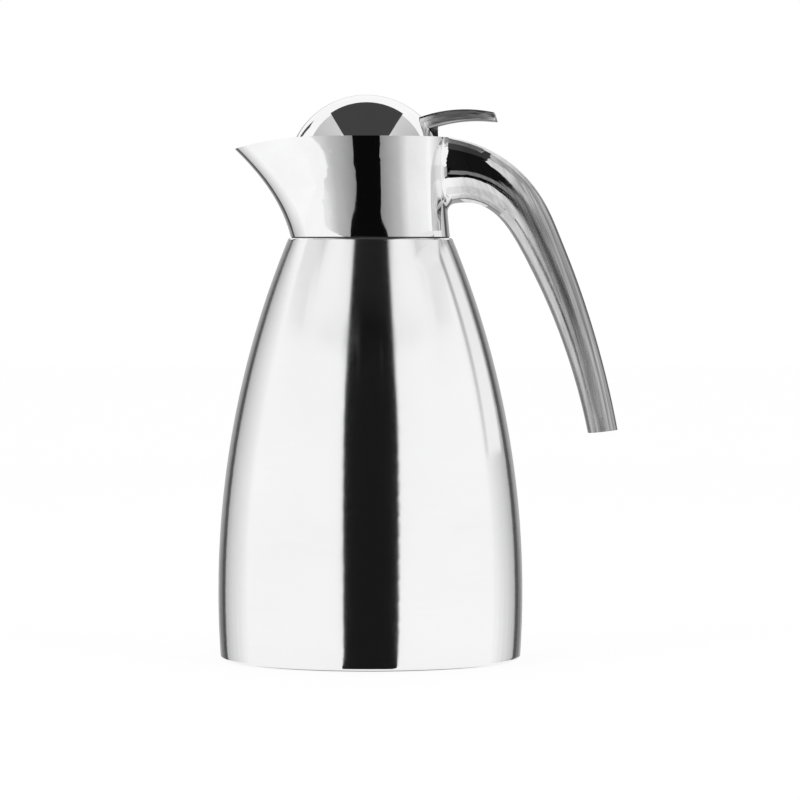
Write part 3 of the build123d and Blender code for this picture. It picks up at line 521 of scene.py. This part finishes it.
# end of the name, X distances of the near and the far edge, and the levels there
CEILING_SIDES = (
    ("", CEILING_HALF, SIDE_MIDDLE, 0.66, 0.50),
    ("_end", SIDE_MIDDLE, SIDE_END, 1.0, 0.66),
)
for name_end, near, far, near_level, far_level in CEILING_SIDES:
    left_corners = level_corners(-far, -near, SIDE_FRONT, SIDE_BACK, CEILING_TOP)
    right_corners = level_corners(near, far, SIDE_FRONT, SIDE_BACK, CEILING_TOP)
    card("ceiling_side_left" + name_end, left_corners, (far_level, near_level))
    card("ceiling_side_right" + name_end, right_corners, (near_level, far_level))

# The low flag stands close in front of the jug and keeps the bright floor out of the stripe. The foot
# flag lies on the floor from there to the jug. The body mirrors the far flag above the low one.
LOW_FRONT = -0.10
FOOT_FRONT = -0.069
FOOT_HALF = 0.0125
FOOT_FLAG_HEIGHT = 0.0015

low_right, low_left = stripe_edges(STRIPE[:LOW_ROWS], Y_AXIS, LOW_FRONT)
card("low_flag", standing(low_right, low_left), BLACK)
foot_corners = [
    (-FOOT_HALF, FOOT_FRONT, FOOT_FLAG_HEIGHT),
    (FOOT_HALF, FOOT_FRONT, FOOT_FLAG_HEIGHT),
    (low_right[0].x, LOW_FRONT, FOOT_FLAG_HEIGHT),
    (low_left[0].x, LOW_FRONT, FOOT_FLAG_HEIGHT),
]
card("foot_flag", foot_corners, BLACK)

# The collar is hollow-sided, and its reflections meet near one height. A flag there gives it its own
# black stripe. The corners are (x, height).
COLLAR_FRONT = -0.15
COLLAR_RIGHT = (
    (0.067, 0.2100),
    (0.067, 0.2145),
    (0.060, 0.2180),
    (0.040, 0.2225),
    (0.044, 0.2240),
    (0.0455, 0.2400),
)
COLLAR_LEFT = (
    (-0.049, 0.2400),
    (-0.047, 0.2240),
    (-0.039, 0.2225),
    (-0.062, 0.2180),
    (-0.069, 0.2145),
    (-0.069, 0.2100),
)
card("collar_flag", [(x, COLLAR_FRONT, z) for x, z in (*COLLAR_RIGHT, *COLLAR_LEFT)], COLLAR_BLACK)

# Two pale cards stand in the gap behind the grip. They leave only a thin grey line of the handle's
# reflection in the body.
GAP_CARD = (
    (0.056, -0.019, 0.204),
    (0.087, -0.0275, 0.102),
    (0.087, 0.001, 0.102),
    (0.056, 0.001, 0.204),
)
GAP_LINE = (
    (0.0555, -0.0195, 0.204),
    (0.0865, -0.0280, 0.102),
    (0.0865, -0.0235, 0.102),
    (0.0555, -0.0145, 0.204),
)
card("gap_card", GAP_CARD, (0.88, 0.94))
card("gap_line", GAP_LINE, (0.36, 0.74))
# A third one lies under the handle's root and hides the low flag from it
card("root_card", level_corners(0.036, 0.062, -0.043, -0.017, 0.2020), 0.87)

# A ribbon round the front, at the collar flag's height, darkens the collar towards its stripe. A white
# shelf under it hides it from the body. The shelf is black where the body mirrors its stripe, and black
# on top towards the front, where the collar sees it.
RIBBON_RADIUS = 0.215
RIBBON = (0.2118, 0.245)
RIBBON_FRONT_RIGHT = (0.2165, 0.2335)
SHELF = ((0.16, 0.209), (RIBBON_RADIUS, 0.2117))
SHELF_THICKNESS = 0.0004
SHELF_TOP = [(distance, height + SHELF_THICKNESS) for distance, height in SHELF]
SHELF_FRONT = 10.0
SHELF_TOP_END = 40.0
SHELF_END = 90.0
# azimuths from and to, and the levels there
RIBBON_RUN = (
    (10.0, 24.0, 0.20, 0.34),
    (24.0, 42.0, 0.34, 0.52),
    (42.0, 56.0, 0.52, 0.84),
    (56.0, 90.0, 0.84, 0.95),
)

# Behind the jug walls and floor turn darker towards the body's outline, with a thin dark line before it:
# azimuths from and to, the levels there, and the wall's height
REAR_RUN = (
    (106.0, 128.0, 0.95, 0.66, 1.0),
    (128.0, 140.5, 0.66, 0.46, 1.0),
    (140.5, 149.5, 0.08, 0.08, 1.35),
    (149.5, 160.0, 0.20, 0.40, 0.65),
    (160.0, 180.0, 0.42, 0.42, 0.65),
)
REAR_DISTANCE = 2.1
BODY_OUTLINE = 0.0705
FLOOR_CARD_HEIGHT = 0.0012

# side, its word in names, and the azimuth where the stripe ends on the shelf
for side, word, stripe_end in ((-1, "left", -19.4), (1, "right", 20.7)):
    for number, (near, far, start, end) in enumerate(RIBBON_RUN):
        low, high = RIBBON_FRONT_RIGHT if (side, number) == (1, 0) else RIBBON
        ribbon_edges = ((RIBBON_RADIUS, low), (RIBBON_RADIUS, high))
        sector("ribbon_%s_%d" % (word, number), (side * near, side * far), ribbon_edges, (start, end))
    sector("shelf_front_" + word, (side * SHELF_FRONT, stripe_end), SHELF, BLACK)
    sector("shelf_" + word, (stripe_end, side * SHELF_END), SHELF, 1.0)
    sector("shelf_top_" + word, (side * SHELF_FRONT, side * SHELF_TOP_END), SHELF_TOP, BLACK)
    for number, (near, far, start, end, high) in enumerate(REAR_RUN):
        azimuths = (side * near, side * far)
        wall_edges = ((REAR_DISTANCE, 0.0), (REAR_DISTANCE, high))
        floor_edges = ((BODY_OUTLINE, FLOOR_CARD_HEIGHT), (REAR_DISTANCE, FLOOR_CARD_HEIGHT))
        sector("rear_%s_%d" % (word, number), azimuths, wall_edges, (start, end))
        sector("floor_%s_%d" % (word, number), azimuths, floor_edges, (start, end), start_share=0.5)


# floor

FLOOR_HALF = 6.0
FLOOR_WHITE_SHARE = 0.88

floor_shader = Shader("floor_paint")
floor_shader.set(Base_Color=WHITE, Roughness=0.9)
glow = floor_shader.add("ShaderNodeEmission", {"Color": WHITE, "Strength": 1.0}).outputs["Emission"]
glow_share = floor_shader.math("MULTIPLY", floor_shader.seen(), FLOOR_WHITE_SHARE)
plain_floor = floor_shader.principled.outputs["BSDF"]
mixed = floor_shader.add("ShaderNodeMixShader", {"Fac": glow_share, 1: plain_floor, 2: glow})
floor_shader.surface(mixed.outputs["Shader"])

floor_mesh = bpy.data.meshes.new("floor")
floor_corners = level_corners(-FLOOR_HALF, FLOOR_HALF, -FLOOR_HALF, FLOOR_HALF, 0.0)
floor_mesh.from_pydata(floor_corners, [], [(0, 1, 2, 3)])
floor_mesh.materials.append(floor_shader.material)
floor = bpy.data.objects.new("floor", floor_mesh)
scene.collection.objects.link(floor)


# world: white where it shows, a plain level where it lights

WORLD_LIGHT = 0.95

world = bpy.data.worlds.new("studio")
scene.world = world
world.use_nodes = True
sky = Nodes(world.node_tree)
background = sky.tree.nodes["Background"].inputs
sky.feed(background["Color"], WHITE)
sky.feed(background["Strength"], sky.between(sky.seen(), 0.0, 1.0, to_low=WORLD_LIGHT, to_high=1.0))


# lamps

LAMP_AIM = Vector((0.0, 0.0, 0.15))


def softbox(name, location, size, power):
    data = bpy.data.lights.new(name, "AREA")
    data.shape = "RECTANGLE"
    data.size, data.size_y = size
    data.energy = power
    lamp = bpy.data.objects.new(name, data)
    scene.collection.objects.link(lamp)
    lamp.location = location
    lamp.rotation_mode = "QUATERNION"
    lamp.rotation_quaternion = (LAMP_AIM - lamp.location).to_track_quat("-Z", "Y")
    lamp.visible_camera = False
    lamp.visible_glossy = False


softbox("softbox_left", (-1.8, -1.2, 1.2), size=(1.4, 1.8), power=10.0)
softbox("softbox_right", (1.8, -1.2, 1.2), size=(1.4, 1.8), power=9.0)
